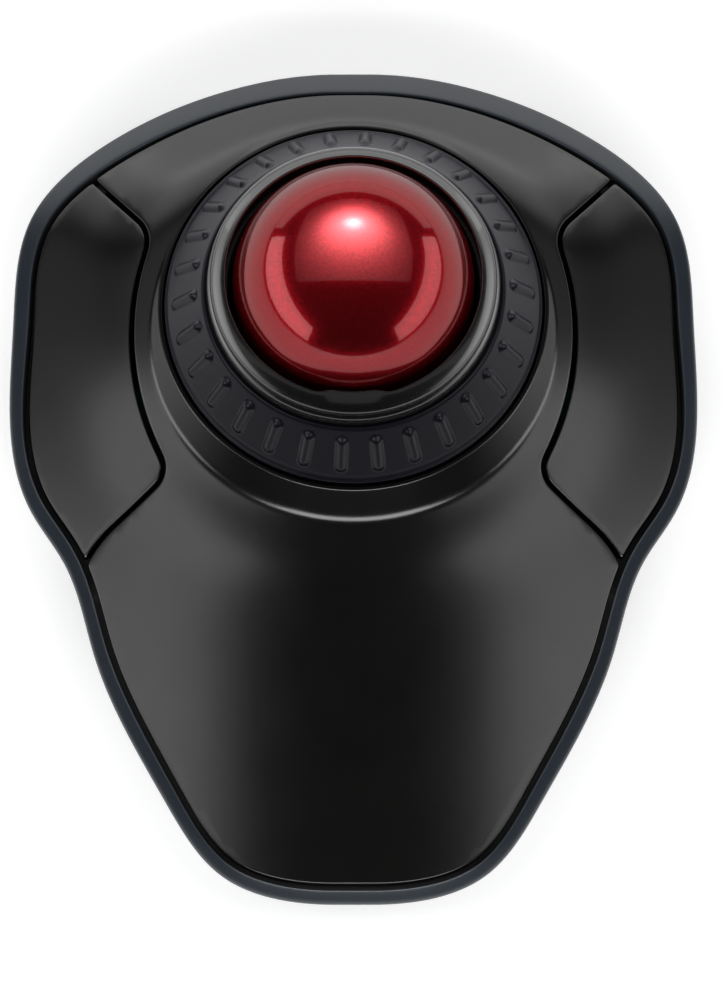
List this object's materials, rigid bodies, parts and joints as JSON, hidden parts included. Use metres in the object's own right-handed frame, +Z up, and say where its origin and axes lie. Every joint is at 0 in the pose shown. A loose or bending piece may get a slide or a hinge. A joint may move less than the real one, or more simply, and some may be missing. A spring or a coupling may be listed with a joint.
{
  "type": "trackball mouse",
  "caption": "Desktop trackball with a palm rest, a red ball in a ribbed scroll ring, and a large curved button on each side.",
  "frame": {"origin": "on the desk under the middle of the outline", "axes": "+X to the user's right, +Y away from the user, +Z up"},
  "size_m": [0.1168, 0.1432, 0.058],
  "materials": {
    "case_plastic": "fine satin texture, slate",
    "shell_plastic": "soft-touch matt black",
    "ring_plastic": "satin slate grey",
    "ball_resin": "polished",
    "collar_gloss": "high gloss black",
    "foot_rubber": "matt",
    "inner_plastic": "moulded black",
    "nylon": "natural nylon",
    "bearing_ceramic": "polished",
    "steel": "zinc plated",
    "circuit_board": "green solder mask",
    "chip_plastic": "moulded",
    "lens_clear": "clear",
    "contact_steel": "nickel plated",
    "cell_sleeve": "plain sleeve",
    "switch_white": "white",
    "receiver_plastic": "matt black"
  },
  "bodies": {
    "case": {"bottom_case": "case_plastic", "top_shell": "shell_plastic", "ball_collar": "collar_gloss", "ball_cup": "inner_plastic", "support_bearings": "bearing_ceramic", "ring_bearing": "nylon", "cup_screws": "steel", "sensor_lens": "lens_clear", "optical_sensor": "chip_plastic", "sensor_board": "circuit_board", "sensor_screws": "steel", "main_board": "circuit_board", "board_screws": "steel", "ring_encoder": "chip_plastic", "left_microswitch": "chip_plastic", "right_microswitch": "chip_plastic", "battery_tray": "inner_plastic", "battery_cells": "cell_sleeve", "battery_contacts": "contact_steel", "rubber_feet": "foot_rubber", "case_screws": "steel", "power_switch_body": "chip_plastic", "mode_switch_body": "chip_plastic", "dpi_switch_body": "chip_plastic"},
    "ring": {"scroll_ring": "inner_plastic", "ring_grip": "ring_plastic"},
    "ball": {"ball": "ball_resin"},
    "left_button": {"left_button": "shell_plastic"},
    "right_button": {"right_button": "shell_plastic"},
    "left_plunger": {"left_switch_plunger": "switch_white"},
    "right_plunger": {"right_switch_plunger": "switch_white"},
    "battery_door": {"battery_door": "case_plastic"},
    "receiver": {"usb_receiver": "receiver_plastic"},
    "power_knob": {"power_switch_knob": "switch_white"},
    "mode_knob": {"mode_switch_knob": "switch_white"},
    "dpi_button": {"dpi_button": "inner_plastic"}
  },
  "joints": [
    {"name": "ring_spin", "type": "hinge", "parent": "case", "child": "ring", "pos_m": [0, 0.0263, 0.03], "axis": [0, 0, 1], "continuous": true},
    {"name": "ball_roll", "type": "hinge", "parent": "case", "child": "ball", "pos_m": [0, 0.0263, 0.038], "axis": [1, 0, 0], "continuous": true},
    {"name": "left_button_press", "type": "hinge", "parent": "case", "child": "left_button", "pos_m": [-0.0457, 0.047, 0.0195], "axis": [1, 0, 0], "range_deg": [0, 1], "stiffness_Nm_per_rad": 0.4, "springref_deg": -1.72},
    {"name": "right_button_press", "type": "hinge", "parent": "case", "child": "right_button", "pos_m": [0.0457, 0.047, 0.0195], "axis": [1, 0, 0], "range_deg": [0, 1], "stiffness_Nm_per_rad": 0.4, "springref_deg": -1.72},
    {"name": "left_plunger_slide", "type": "slide", "parent": "case", "child": "left_plunger", "axis": [0, 0, -1], "range_m": [0, 0.00065]},
    {"name": "right_plunger_slide", "type": "slide", "parent": "case", "child": "right_plunger", "axis": [0, 0, -1], "range_m": [0, 0.00065]},
    {"name": "battery_door_open", "type": "hinge", "parent": "case", "child": "battery_door", "pos_m": [0, -0.031, 0.0017], "axis": [-1, 0, 0], "range_deg": [0, 95]},
    {"name": "receiver_slide", "type": "slide", "parent": "case", "child": "receiver", "axis": [0, 0, -1], "range_m": [0, 0.0075]},
    {"name": "power_switch_slide", "type": "slide", "parent": "case", "child": "power_knob", "axis": [1, 0, 0], "range_m": [0, 0.003]},
    {"name": "mode_switch_slide", "type": "slide", "parent": "case", "child": "mode_knob", "axis": [1, 0, 0], "range_m": [0, 0.003]},
    {"name": "dpi_button_press", "type": "slide", "parent": "case", "child": "dpi_button", "axis": [0, 0, 1], "range_m": [0, 0.0004], "stiffness_N_per_m": 100, "springref_m": -0.001}
  ],
  "couplings": [
    {"joint": "left_plunger_slide", "follows": "left_button_press", "m_per_rad": 0.037},
    {"joint": "right_plunger_slide", "follows": "right_button_press", "m_per_rad": 0.037}
  ]
}
